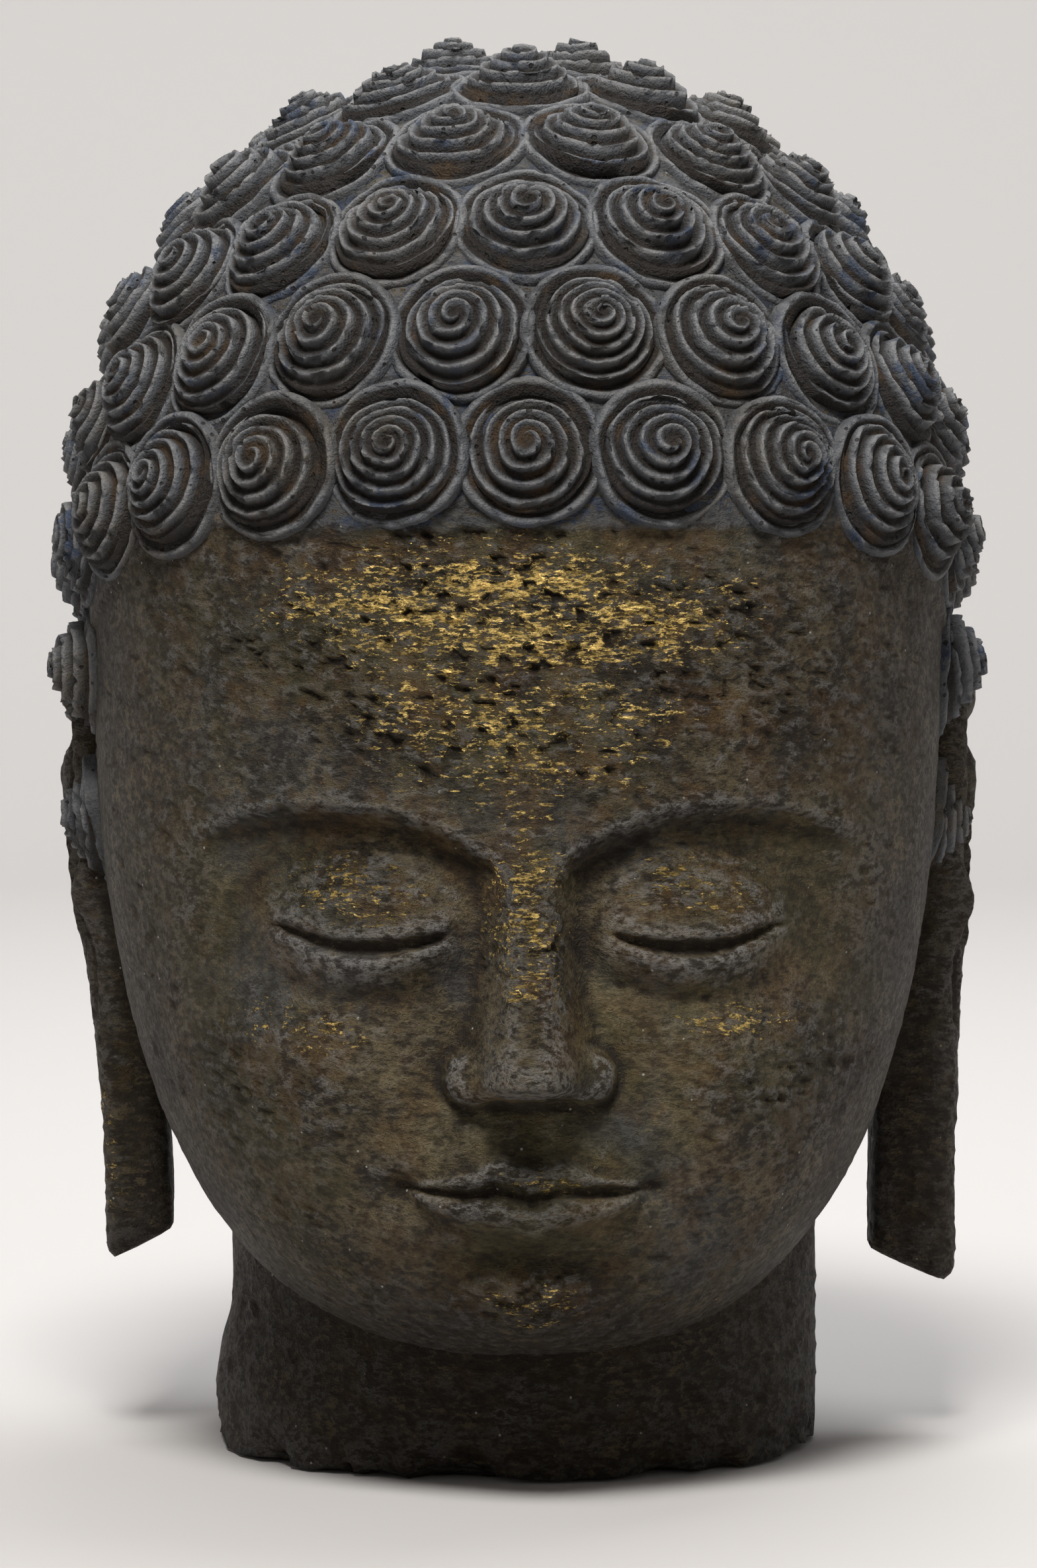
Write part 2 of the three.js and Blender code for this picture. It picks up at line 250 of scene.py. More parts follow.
def eye(x, z):
    """A half-closed eye: the hollow under the brow, the full lids and the narrow opening between."""
    below = brow_line(x) - z
    across = ease(0.10, 0.8, x) * ease(4.7, 3.2, x)
    hollow = 0.36 * ease(-0.06, 0.34, below) * ease(3.4, 0.7, below) * across
    q = clamp(1 - ((x - 2.1) / 1.62) ** 2 - ((z - EYE_LINE - 0.02) / 1.10) ** 2)
    ball = 0.46 * ease(0, 0.95, q) ** 0.8
    bow = arch(x, EYE_INNER, EYE_OUTER)
    along = ease(EYE_INNER - 0.10, EYE_INNER + 0.12, x) * ease(EYE_OUTER + 0.25, EYE_OUTER - 0.05, x)
    tail = 0.08 * ease(EYE_OUTER - 0.8, EYE_OUTER + 0.2, x)
    upper = EYE_LINE - 0.06 - 0.14 * bow + tail
    lower = EYE_LINE - 0.10 - 0.30 * bow**0.8 + tail
    opening = ease(upper + 0.03, upper - 0.06, z) * ease(lower - 0.10, lower + 0.03, z) * along
    upper_lid = ease(upper - 0.03, upper + 0.03, z) * ease(upper + 0.42, upper + 0.08, z) * along
    lower_lid = stroke(z - lower + 0.12, 0.10) * along
    fold = EYE_LINE + 0.16 + 0.66 * arch(x, EYE_INNER - 0.25, EYE_OUTER + 0.45) ** 0.8
    ends = ease(EYE_INNER - 0.2, EYE_INNER + 0.35, x) * ease(EYE_OUTER + 0.35, EYE_OUTER - 0.2, x)
    crease = stroke(z - fold, 0.06) * ends
    return ball - hollow - 0.13 * opening + 0.06 * upper_lid + 0.03 * lower_lid - 0.05 * crease


def mouth(x, z):
    muzzle = 0.34 * hump(x, z, 0, 2.75, 2.5, 1.9)
    reach = x / MOUTH_HALF
    c = clamp(reach)
    seam_z = MOUTH + 0.10 * c**2 + 0.05 * stroke(x - 0.45, 0.28) - 0.03 * stroke(x, 0.25)
    top = seam_z + 0.10 + 0.38 * ease(1.0, 0.12, c) + 0.05 * stroke(x - 0.34, 0.22)
    bottom = seam_z - 0.10 - 0.50 * (1 - c**2.2)
    above = (z - seam_z) / (top - seam_z)
    below = (seam_z - z) / (seam_z - bottom)
    upper_lip = ease(1.18, 0.72, above) * lerp(0.35, 1.0, ease(0, 0.75, above)) * (above > 0)
    lower_lip = ease(1.25, 0.50, below) * lerp(0.35, 1.0, ease(0, 0.5, below)) * (below >= 0)
    lips = (0.19 * upper_lip + 0.24 * lower_lip) * ease(1.02, 0.84, reach) * (1 - 0.35 * c**2)
    seam = 0.10 * stroke(z - seam_z, 0.06) * ease(1.12, 0.95, reach)
    corner = 0.13 * stroke(np.hypot(x - MOUTH_HALF - 0.08, z - MOUTH - 0.08), 0.22)
    philtrum = 0.06 * stroke(x, 0.15) * ease(2.95, 3.35, z) * ease(4.0, 3.6, z)
    return muzzle + lips - seam - corner - philtrum


def chin(x, z):
    fold = 0.17 * stroke(z - 1.68, 0.28) * stroke(x, 1.05)
    return 0.36 * hump(x, z, 0, 0.92, 1.35, 1.05) - fold


def cheek(x, z):
    return 0.26 * hump(x, z, 2.7, 4.3, 2.0, 2.2)


def in_parts(shape, x, z):
    """Across from the middle and up from the chin, in the canon's parts."""
    return x / (shape.face_width / PARTS_WIDE), (z - shape.chin) / (shape.face_height / PARTS_HIGH)


def face_relief(shape, x, z):
    across, up = in_parts(shape, np.abs(x), z)
    depth = (shape.face_width / PARTS_WIDE + shape.face_height / PARTS_HIGH) / 2
    return depth * sum(feature(across, up) for feature in (nose, eye, mouth, chin, cheek))


# --- The head: an egg with a level section at every height ---

# How far the chin lies in front of the skull's middle
JAW_FORWARD = 35 * MM
# Heights of the hair's lower edge
BROW_HAIRLINE, TEMPLE_HAIRLINE, NAPE_HAIRLINE = 0.293, 0.258, 0.128


class Skull:
    """The level sections of the head, and the points on them."""

    def __init__(self, shape):
        self.shape = shape
        self.centre = Vector((0, shape.skull_y, shape.skull_height))
        self.drop = shape.skull_height - shape.chin + 2 * MM

    def level_of(self, z):
        """-1 under the chin, 0 at the widest level, 1 at the crown."""
        up = z - self.shape.skull_height
        return np.where(up > 0, up / self.shape.rise, up / self.drop)

    def height_of(self, t):
        return self.shape.skull_height + t * np.where(t > 0, self.shape.rise, self.drop)

    def section(self, t):
        def fullness(power):
            exponent = np.where(t > 0, 2.0, power)
            return clamp(1 - np.abs(t) ** exponent) ** (1 / exponent)

        centre_y = self.shape.skull_y - JAW_FORWARD * np.where(t < 0, np.abs(t) ** 3, 0)
        half_width = self.shape.half_width * fullness(2.75)
        front = self.shape.front * fullness(3.8)
        back = self.shape.back * fullness(2.0)
        squareness = 2 + 0.35 * np.where(t < 0, 1.0, ease(0.9, 0.0, t))
        return centre_y, half_width, front, back, squareness

    def surface(self, azimuth, t, outward=0.0):
        """The point at an azimuth from the front round, on the level t, moved outward."""
        centre_y, half_width, front, back, squareness = self.section(t)
        sin, cos = np.sin(azimuth), np.cos(azimuth)
        reach = (np.abs(sin) ** squareness + np.abs(cos) ** squareness) ** (-1 / squareness)
        depth = np.where(cos > 0, front, back)
        grow = outward * np.sqrt(clamp(1 - t * t))
        x = (half_width + grow) * sin * reach
        y = centre_y - (depth + grow) * cos * reach
        z = self.height_of(t) + outward * t
        return x, y, z

    def holds(self, point):
        t = float(self.level_of(point.z))
        if abs(t) >= 1:
            return False
        centre_y, half_width, front, back, squareness = (float(value) for value in self.section(t))
        depth = front if point.y < centre_y else back
        across, ahead = abs(point.x / half_width), abs((point.y - centre_y) / depth)
        return across**squareness + ahead**squareness < 1

    def scalp(self, direction):
        """Where a ray from the skull's middle leaves the head."""
        near, far = 0.0, 2 * self.shape.rise
        while far - near > 0.01 * MM:
            middle = (near + far) / 2
            if self.holds(self.centre + direction * middle):
                near = middle
            else:
                far = middle
        return self.centre + direction * near

    def normal(self, point):
        out = point - self.centre
        depth = self.shape.front if out.y < 0 else self.shape.back
        rise = self.shape.rise if out.z > 0 else self.drop
        return Vector((out.x / self.shape.half_width**2, out.y / depth**2, out.z / rise**2)).normalized()


def hairline(azimuth):
    """The hair's lower edge: level over the forehead, down past the ears to the nape."""
    around = np.abs(azimuth)
    temple = lerp(BROW_HAIRLINE, TEMPLE_HAIRLINE, ease(math.radians(40), math.radians(84), around))
    return lerp(temple, NAPE_HAIRLINE, ease(math.radians(92), math.radians(116), around))


# --- Meshes ---


def points_of(mesh):
    flat = np.empty(len(mesh.vertices) * 3)
    mesh.vertices.foreach_get("co", flat)
    return flat.reshape(-1, 3)


def move_points(mesh, points):
    mesh.vertices.foreach_set("co", np.ascontiguousarray(points, dtype=float).ravel())
    mesh.update()


def spin_round(bm, steps):
    """Spins an outline once round the upright axis."""
    outline = bm.verts[:] + bm.edges[:]
    bmesh.ops.spin(
        bm, geom=outline, cent=(0, 0, 0), axis=(0, 0, 1), angle=math.tau, steps=steps, use_merge=True
    )


def to_mesh(bm, name):
    mesh = bpy.data.meshes.new(name)
    bm.to_mesh(mesh)
    bm.free()
    return mesh


def to_object(mesh, name):
    piece = bpy.data.objects.new(name, mesh)
    bpy.context.scene.collection.objects.link(piece)
    mesh.polygons.foreach_set("use_smooth", [True] * len(mesh.polygons))
    return piece


def moulded_sphere(name, columns, rows, place):
    """A unit sphere with its poles up and down, whose points are moved by place(azimuth, down)."""
    bm = bmesh.new()
    bmesh.ops.create_uvsphere(bm, u_segments=columns, v_segments=rows, radius=1.0)
    mesh = to_mesh(bm, name)
    co = points_of(mesh)
    azimuth = np.arctan2(co[:, 0], -co[:, 1])
    down = np.arccos(np.clip(co[:, 2], -1, 1)) / math.pi
    move_points(mesh, np.stack(place(azimuth, down), axis=1))
    return mesh


def fractal(points, size, octaves=3, seed=0):
    """Soft noise from -1 to 1, with lumps of about the given size."""
    shift = Vector((seed * 17.3, seed * 5.1, seed * 9.7))
    value = [noise.fractal(Vector(p) / size + shift, 1.0, 2.0, octaves) for p in points]
    return np.array(value)


def join_solids(piece, others):
    """Joins other closed shells into a piece."""
    for other in others:
        union = piece.modifiers.new("join", "BOOLEAN")
        union.operation = "UNION"
        union.solver = "MANIFOLD"
        union.object = other
        with bpy.context.temp_override(object=piece, active_object=piece):
            bpy.ops.object.modifier_apply(modifier=union.name)
        bpy.data.objects.remove(other)


def vertex_normals(mesh):
    flat = np.empty(len(mesh.vertices) * 3)
    mesh.vertex_normals.foreach_get("vector", flat)
    return flat.reshape(-1, 3)


def gouges(points, normals, centres, radii, depths):
    """Shallow round bites along the normals, at centres of their own."""
    moved = points.copy()
    for centre, radius, depth in zip(centres, radii, depths):
        away = np.linalg.norm(points - centre, axis=1) / radius
        moved -= normals * (depth * clamp(1 - away**2) ** 1.5)[:, None]
    return moved


def hollowness(mesh, rounds):
    """How far each point lies under the mean of its neighbours, smoothed over some rounds."""
    edges = np.empty(len(mesh.edges) * 2, dtype=np.int64)
    mesh.edges.foreach_get("vertices", edges)
    edges = edges.reshape(-1, 2)
    count = len(mesh.vertices)
    degree = np.bincount(edges.ravel(), minlength=count).clip(1)[:, None]
    start = points_of(mesh)
    smooth = start.copy()
    for _ in range(rounds):
        total = np.zeros_like(smooth)
        for axis in range(3):
            total[:, axis] = np.bincount(edges[:, 0], smooth[edges[:, 1], axis], count)
            total[:, axis] += np.bincount(edges[:, 1], smooth[edges[:, 0], axis], count)
        smooth = 0.5 * smooth + 0.5 * total / degree
    return ((smooth - start) * vertex_normals(mesh)).sum(axis=1)


def store(mesh, name, values):
    layer = mesh.attributes.new(name, "FLOAT", "POINT")
    layer.data.foreach_set("value", np.ascontiguousarray(values, dtype=np.float32))


# --- The head, the neck and the ears ---


def head_mesh(shape, skull):
    """The skull with the face, its points drawn together over the face."""
    face_top, face_foot = 0.330, 0.055
    crown_share, chin_share = 0.14, 0.93
    hair_thickness = 1.2 * MM

    def place(azimuth, down):
        turned = azimuth - 0.60 * np.sin(azimuth)
        top = float(np.arccos(skull.level_of(face_top)))
        foot = float(np.arccos(skull.level_of(face_foot)))
        into = clamp((down - crown_share) / (chin_share - crown_share))
        face_z = lerp(face_top, face_foot, into)
        on_face = np.arccos(np.clip(skull.level_of(face_z), -1, 1))
        over = down / crown_share * top
        under = lerp(foot, math.pi, (down - chin_share) / (1 - chin_share))
        tilt = np.where(down < crown_share, over, np.where(down > chin_share, under, on_face))
        t = np.cos(tilt)
        is_hair = ease(-0.0015, 0.0015, skull.height_of(t) - hairline(turned))
        x, y, z = skull.surface(turned, t, hair_thickness * is_hair)
        is_front = ease(0.1, 0.5, np.cos(turned)) * (1 - is_hair)
        return x, y - face_relief(shape, x, z) * is_front, z

    return moulded_sphere("head", columns=280, rows=286, place=place)


def neck_mesh(shape):
    """A closed drum whose foot is the cut, drawn in a little above it on the viewer's left."""
    base_share, wall_share = 0.16, 0.70
    top = 0.120
    taper = 0.055

    def place(azimuth, down):
        up = 1 - down
        spread = clamp(up / base_share)
        z = top * clamp((up - base_share) / wall_share)
        close = 1 - clamp((up - base_share - wall_share) / (1 - base_share - wall_share))
        radius = spread * close
        flare = 1 - taper * ease(0.020, 0.050, z) * ease(0.4, -0.9, np.sin(azimuth))
        x = shape.neck_half_width * radius * flare * np.sin(azimuth)
        y = -shape.neck_half_depth * radius * np.cos(azimuth)
        return x, y, z

    return moulded_sphere("neck", columns=140, rows=60, place=place)


def ear_relief(u, s):
    """How deep the side of an ear is cut, in metres: u from front to back, s from the tip up."""
    to_rim = clamp(np.minimum(1 - np.abs(u), (1 - s) * 3.2))
    upper = ease(0.38, 0.50, s)
    groove = 4.0 * stroke(to_rim - 0.36, 0.11) * upper
    inner_rim = 1.6 * stroke(to_rim - 0.62, 0.10) * upper * ease(-0.2, 0.3, u)
    bowl = 9.0 * clamp(1 - ((u + 0.12) / 0.50) ** 2 - ((s - 0.64) / 0.15) ** 2) ** 0.8
    flap = 4.5 * hump(u, s, -0.78, 0.62, 0.34, 0.07)
    slot = 5.0 * clamp(1 - (u / 0.42) ** 2 - ((s - 0.24) / 0.19) ** 2) ** 0.7
    step = 1.8 * ease(0.56, 0.52, s)
    return MM * (groove + bowl + slot + step - inner_rim - flap)


def ear_mesh(shape, side):
    """A long ear with a free lobe, whose foot slants up toward the neck."""
    tip = shape.left_lobe if side < 0 else shape.right_lobe
    lobe_out, lobe_thickness, ear_out = (131.5, 23, 143.5) if side < 0 else (141.5, 29, 146)
    ear_inside = 90 * MM
    slant = 9 * MM

    def place(azimuth, down):
        s = 1 - down
        ends = clamp(1 - np.abs(2 * s - 1) ** 9) ** (1 / 3)
        sin, cos = np.sin(side * azimuth), np.cos(side * azimuth)
        reach = (sin**4 + cos**4) ** -0.25
        across, ahead = sin * reach, cos * reach
        half_depth = MM * lerp(16, 28, ease(0.35, 0.85, s)) * ends
        middle = MM * lerp(14, 19, ease(0.2, 0.8, s))
        line = MM * lerp(lobe_out, ear_out, ease(0.08, 0.95, s))
        outer = line - ear_relief(-ahead, s) * ease(0.2, 0.75, across) * (across > 0)
        lobe = line - MM * lobe_thickness
        inner = lerp(lobe, ear_inside, ease(0.30, 0.5, s))
        x = lerp(inner, outer, 0.5 + 0.5 * across * np.minimum(1, ends * 1.4))
        y = middle - ahead * half_depth
        z = lerp(tip, shape.ear_top, s) + slant * (0.5 - 0.5 * across) * (1 - s) ** 6
        return side * x, y, z

    return moulded_sphere("ear", columns=100, rows=100, place=place)


def patches(x, z, spots):
    """The strongest of some soft spots at each point."""
    return np.max([strength * hump(x, z, *spot) for *spot, strength in spots], axis=0)


# Where the stone is rough and where gold leaf is left, as middle, reach and strength, in parts.
# A negative x is the viewer's left.
ROUGH_SPOTS = (
    (0.0, 10.4, 7.0, 3.6, 1.5),
    (0.0, 6.6, 0.9, 3.2, 1.1),
    (-2.2, 7.1, 1.7, 1.0, 1.1),
    (2.2, 7.1, 1.7, 0.9, 0.7),
    (-3.3, 4.2, 1.9, 1.5, 0.7),
    (3.5, 4.4, 1.7, 1.3, 0.8),
    (0.0, 1.0, 1.9, 1.2, 0.9),
    (0.0, 2.7, 1.7, 0.6, 0.5),
)
GILT_SPOTS = (
    (-0.2, 11.0, 4.2, 1.5, 1.6),
    (0.0, 9.4, 3.2, 1.8, 0.8),
    (0.0, 6.9, 0.8, 2.4, 0.9),
    (-2.1, 7.0, 1.5, 0.8, 0.75),
    (2.1, 7.1, 1.4, 0.8, 0.5),
    (-2.9, 5.0, 1.5, 0.7, 0.5),
    (2.7, 5.1, 1.3, 0.5, 0.55),
    (0.0, 1.0, 1.2, 0.8, 0.5),
    (0.0, 2.8, 1.3, 0.5, 0.45),
    (-6.0, 2.4, 0.9, 2.4, 0.6),
)


def weather(mesh, shape, seed):
    """Roughens the carved shell, bites pits and chips out of it, and stores what the stone wears and
    where shade is painted: on the jaw, the sides, the ears and the neck.
    """
    chips = 22
    points = points_of(mesh)
    x, y, z = points.T
    across, up = in_parts(shape, x, z)
    azimuth = np.arctan2(x, -y)
    on_face = ease(0.02, -0.05, y) * ease(-0.3, 0.4, up)
    on_neck = ease(0.075, 0.045, z) * ease(0.110, 0.100, np.abs(x))
    on_ear = ease(0.119, 0.124, np.abs(x)) * ease(-0.03, -0.01, y) * ease(0.255, 0.245, z)
    patchy = 0.75 + 0.55 * fractal(points, 22 * MM, 3, seed)
    pitted = clamp(patches(across, up, ROUGH_SPOTS) * on_face * patchy)
    pitted = np.maximum(pitted, np.maximum(0.55 * on_neck, 0.35 * on_ear))
    gilt = patches(across, up, GILT_SPOTS) * (0.9 + 0.4 * fractal(points, 30 * MM, 2, seed + 1))
    gilt = clamp(gilt) * ease(0.02, -0.05, y - 0.08 * (np.abs(x) > 0.115))
    in_hair = ease(-0.001, 0.002, z - hairline(azimuth))
    # Painted shade: darker towards the bottom of the face, round the sides, on the ears and most on the
    # neck under the chin.
    jaw = 0.35 * ease(3.5, 0.5, up) * (1 - on_neck)
    sides = 0.9 * ease(0.30, 1.15, np.abs(azimuth)) * (1 - on_neck) * (1 - on_ear)
    painted_shade = 0.95 * on_neck + 0.65 * on_ear + jaw + sides
    normals = vertex_normals(mesh)
    flattened = points * (0.6, 1.0, 1.2)
    crumple = fractal(flattened, 3.8 * MM, 4, seed + 4)
    biting = fractal(flattened, 3.8 * MM, 2, seed + 5)
    bites = ease(0.34, 0.58, biting + 0.20 * pitted - 0.10) * pitted
    sparse = ease(0.50, 0.66, fractal(flattened, 4.2 * MM, 2, seed + 6))
    pit = np.maximum(bites, 0.35 * sparse) * (1 - in_hair)
    uneven = 0.55 * fractal(points, 38 * MM, 2, seed + 2) + 0.20 * fractal(points, 9 * MM, 2, seed + 3)
    lift = uneven + crumple * (0.20 + 1.05 * pitted) - 1.7 * pit
    moved = points + normals * (MM * lift)[:, None]
    rng = np.random.default_rng(seed)
    edge = np.flatnonzero((z < 4 * MM) & (z > 0.5 * MM))
    middles = points[rng.choice(edge, chips)]
    radii = rng.uniform(4, 17, chips) * MM
    depths = rng.uniform(1, 5, chips) * MM
    moved = gouges(moved, normals, middles, radii, depths)
    moved[:, 2] = np.maximum(moved[:, 2], 0)
    move_points(mesh, moved)
    store(mesh, "pitted", pitted)
    store(mesh, "pit", pit)
    store(mesh, "gilt", gilt)
    store(mesh, "painted_shade", clamp(painted_shade))
    store(mesh, "hair", in_hair)
    store(mesh, "hollow", hollowness(mesh, rounds=14) / MM)


class CarveHead(bpy.types.Operator):
    """Carve the head, the neck and the ears as one shell"""

    bl_idname = "buddha.carve_head"
    bl_label = "Carve Head"

    def execute(self, context):
        shape = context.scene.buddha_head
        skull = Skull(shape)
        head = to_object(head_mesh(shape, skull), "carved_head")
        others = [to_object(neck_mesh(shape), "neck")]
        others += [to_object(ear_mesh(shape, side), "ear") for side in (-1, 1)]
        join_solids(head, others)
        head.data.polygons.foreach_set("use_smooth", [True] * len(head.data.polygons))
        weather(head.data, shape, seed=3)
        head.data.materials.clear()
        head.data.materials.append(stone_material(context.scene.stone_colours))
        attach(head, "root")
        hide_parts(NODE)
        return {"FINISHED"}


# --- The curls ---


def curl_directions(shape, skull, curls):
    """Rows round a crown that leans back, each row half a curl out of step with the next.

    The curls of a row are equally far apart over the scalp, and the last rows run only round the back.
    """
    full_rows, nape_rows = 6, 3
    nape_start, nape_step = math.radians(88), math.radians(12)
    crowding = 1.03
    row_step = curls.spacing / (shape.rise + curls.height / 2)
    lean = Matrix.Rotation(-curls.lean, 3, "X")
    azimuths = np.linspace(0, math.tau, 181)

    def direction(down, azimuth):
        level = math.sin(down)
        return lean @ Vector((level * math.sin(azimuth), -level * math.cos(azimuth), math.cos(down)))

    directions = []
    for row in range(full_rows + nape_rows + 1):
        down = row * row_step
        ring = np.array([skull.scalp(direction(down, azimuth)) for azimuth in azimuths])
        steps = np.linalg.norm(np.diff(ring, axis=0), axis=1)
        along = np.concatenate([[0.0], np.cumsum(steps)])
        count = max(1, round(along[-1] * crowding / curls.spacing))
        for i in range(count):
            azimuth = np.interp((i + row % 2 / 2) / count * along[-1], along, azimuths)
            from_front = min(azimuth, math.tau - azimuth)
            if row > full_rows and from_front < nape_start + (row - full_rows - 1) * nape_step:
                continue
            directions.append(direction(down, azimuth))
    return directions


# How deep the curls and their sockets are rooted
CURL_ROOT = -6 * MM


class CurlPattern:
    """A strip wound into a low snail shell: each turn steps down outward from a raised lip.

    Each vertex has a number that says how deep it lies between the lips: 0 on a lip, 1 at the foot.
    """

    def __init__(self, curls, pitch, depth):
        per_turn = 50
        shares = np.array([0.0, 0.12, 0.36, 0.62, 0.80, 0.88, 0.94, 1.0])
        across = len(shares) - 1
        turns = curls.radius / pitch + 1
        steps = round(per_turn * turns)
        lip = 0.84
        bm = bmesh.new()
        bmesh.ops.create_grid(bm, x_segments=steps, y_segments=across, size=1.0)
        mesh = to_mesh(bm, "strip")
        co = points_of(mesh)
        angle = math.tau * (np.rint((co[:, 0] + 1) / 2 * steps) / per_turn - 1)
        share = shares[np.rint((co[:, 1] + 1) / 2 * across).astype(int)]
        r = np.clip(pitch * (angle / math.tau + share), 0, curls.radius)
        within = clamp(r / pitch - angle / math.tau)

        def lip_height(radius):
            return curls.height * lerp(0.14, 1.0, clamp(1 - (radius / curls.radius) ** 1.7))

        rise = clamp(within / lip)
        foot = lip_height(np.minimum(r + (lip - within) * pitch, curls.radius)) - depth
        next_foot = lip_height(np.minimum(r + (1 + lip - within) * pitch, curls.radius)) - depth
        slope = lerp(foot, lip_height(r), rise**1.9)
        wall = lerp(lip_height(r), next_foot, clamp((within - lip) / (1 - lip)))
        turned = np.where(within < lip, slope, wall)
        pit = curls.height - 2.4 * MM
        turned += 0.35 * MM * stroke(within - lip, 0.10)
        z = np.maximum(lerp(pit, turned, ease(0.1 * pitch, 0.8 * pitch, r)), 0.5 * MM)
        low = np.where(within < lip, 1 - rise**1.6, clamp((within - lip) / (1 - lip)))
        low = np.where(r > curls.radius - 0.2 * MM, 1.0, low)
        low = np.maximum(low, ease(0.9 * pitch, 0.2 * pitch, r))
        move_points(mesh, np.stack([r * np.cos(angle), -r * np.sin(angle), z], axis=1))
        store(mesh, "low", low)
        bm = bmesh.new()
        bm.from_mesh(mesh)
        bpy.data.meshes.remove(mesh)
        bmesh.ops.remove_doubles(bm, verts=bm.verts, dist=0.03 * MM)
        tip = [vert for vert in bm.verts if vert.co.xy.length < 0.2 * MM]
        bmesh.ops.pointmerge(bm, verts=tip, merge_co=tip[0].co)
        bmesh.ops.dissolve_degenerate(bm, edges=bm.edges, dist=0.03 * MM)
        rim = [edge for edge in bm.edges if edge.is_boundary]
        wall_edges = bmesh.ops.extrude_edge_only(bm, edges=rim)["geom"]
        low_layer = bm.verts.layers.float["low"]
        for vert in (item for item in wall_edges if isinstance(item, bmesh.types.BMVert)):
            vert.co.z = CURL_ROOT
            vert[low_layer] = 1.0
        new_edges = (item for item in wall_edges if isinstance(item, bmesh.types.BMEdge))
        under = [edge for edge in new_edges if edge.is_boundary]
        bmesh.ops.contextual_create(bm, geom=under)
        bmesh.ops.recalc_face_normals(bm, faces=bm.faces)
        self.mesh = to_mesh(bm, "curl_pattern")


def socket_pattern(curls):
    """The thin raised line round a curl, with the floor of the groove inside it."""
    # Radius, height and depth between the lips
    outline = (
        (curls.rim - 4.0 * MM, CURL_ROOT, 1.0),
        (curls.rim - 4.0 * MM, 0.35 * MM, 1.0),
        (curls.rim - 1.6 * MM, 0.35 * MM, 1.0),
        (curls.rim - 0.7 * MM, 1.15 * MM, 0.45),
        (curls.rim, 1.45 * MM, 0.2),
        (curls.rim + 0.7 * MM, 1.2 * MM, 0.28),
        (curls.rim + 1.4 * MM, 0.3 * MM, 0.4),
        (curls.rim + 1.6 * MM, CURL_ROOT, 0.4),
    )
    bm = bmesh.new()
    low_layer = bm.verts.layers.float.new("low")
    verts = []
    for radius, height, low in outline:
        vert = bm.verts.new((radius, 0, height))
        vert[low_layer] = low
        verts.append(vert)
    for one, other in zip(verts, verts[1:] + verts[:1]):
        bm.edges.new((one, other))
    spin_round(bm, 52)
    bmesh.ops.recalc_face_normals(bm, faces=bm.faces)
    return to_mesh(bm, "socket_pattern")


def add_copy(bm, mesh, matrix):
    before = len(bm.verts)
    bm.from_mesh(mesh)
    bm.verts.ensure_lookup_table()
    bmesh.ops.transform(bm, matrix=matrix, verts=bm.verts[before:])


def curl_piece(name, patterns, socket, places, rng):
    """Sets turned copies of the patterns in their sockets, as one piece."""
    bm = bmesh.new()
    bm.verts.layers.float.new("low")
    for base, normal in places:
        across = Vector((0, 0, 1)).cross(normal).normalized()
        stand = Matrix((across, normal.cross(across), normal)).transposed().to_4x4()
        place = Matrix.Translation(base) @ stand
        add_copy(bm, socket, place @ Matrix.Scale(rng.uniform(0.98, 1.03), 4))
        pattern = patterns[rng.randrange(len(patterns))]
        turn = Matrix.Rotation(rng.uniform(0, math.tau), 4, "Z")
        nod = Matrix.Rotation(rng.gauss(-0.13, 0.03), 4, "X")
        tip = nod @ Matrix.Rotation(rng.gauss(0, 0.03), 4, "Y")
        width, length, height = rng.uniform(0.95, 1.02), rng.uniform(0.95, 1.02), rng.uniform(0.9, 1.08)
        size = Matrix.Diagonal((width, length, height, 1))
        shift = Matrix.Translation((rng.gauss(0, 0.35) * MM, rng.gauss(0.2, 0.3) * MM, 0.4 * MM))
        add_copy(bm, pattern.mesh, place @ shift @ tip @ size @ turn)
    return to_object(to_mesh(bm, name), name)


def wear_curls(mesh, seed):
    """Rubs the lips unevenly, breaks short stretches of them away and leaves no turn quite true."""
    points = points_of(mesh)
    normals = vertex_normals(mesh)
    low = np.empty(len(points))
    mesh.attributes["low"].data.foreach_get("value", low)
    on_lip = ease(0.55, 0.1, low)
    wave = fractal(points, 9 * MM, 2, seed)
    grit = fractal(points, 2.0 * MM, 3, seed + 1)
    weak = fractal(points, 4.2 * MM, 2, seed + 5) + 0.35 * fractal(points, 30 * MM, 1, seed + 6)
    broken = ease(0.18, 0.42, weak)
    lift = 0.28 * wave + 0.20 * grit - 1.4 * broken * on_lip
    sway = np.stack([fractal(points, 16 * MM, 2, seed + axis) for axis in (2, 3, 4)], axis=1)
    move_points(mesh, points + normals * (MM * lift)[:, None] + 0.9 * MM * sway)
    low = clamp(low + 0.35 * broken * on_lip)
    mesh.attributes["low"].data.foreach_set("value", low.astype(np.float32))


